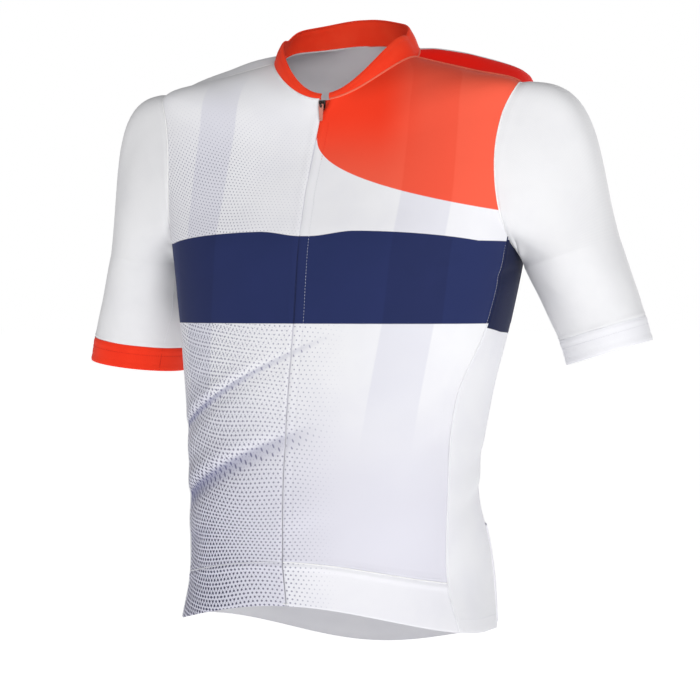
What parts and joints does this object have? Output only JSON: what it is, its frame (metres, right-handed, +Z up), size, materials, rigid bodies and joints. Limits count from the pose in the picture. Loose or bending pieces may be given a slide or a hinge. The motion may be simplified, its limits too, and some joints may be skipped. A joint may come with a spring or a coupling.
{
  "type": "cycling jersey",
  "caption": "Short-sleeved cycling jersey with a full front zip, low collar, gripper hem and rear pockets, shown worn and hollow.",
  "frame": {"origin": "middle of the neck opening, level with the tops of the shoulder seams, where the wearer's shoulders hold it", "axes": "+Z up, -Y is the front, +X is the wearer's left"},
  "size_m": [0.6344, 0.2753, 0.6677],
  "materials": {
    "printed_front": "matte knit",
    "white_knit": "smooth knit",
    "coral_knit": "smooth knit",
    "zip_tape": "woven",
    "slider_metal": "gunmetal"
  },
  "bodies": {
    "garment": {"front_left": "printed_front", "front_right": "printed_front", "side_left": "white_knit", "side_right": "white_knit", "hem_band_left": "printed_front", "hem_band_right": "printed_front", "back": "white_knit", "pockets": "white_knit", "sleeve_left": "white_knit", "sleeve_right": "white_knit", "cuff_left": "white_knit", "cuff_right": "coral_knit", "collar": "coral_knit", "zip_tape_left": "zip_tape", "zip_tape_right": "zip_tape", "zip_slider": "slider_metal"},
    "pull_tab": {"zip_pull": "slider_metal"}
  },
  "joints": [
    {"name": "pull_swing", "type": "hinge", "parent": "garment", "child": "pull_tab", "pos_m": [0, -0.04627, -0.0549], "axis": [-1, 0, 0], "range_deg": [0, 120]}
  ]
}
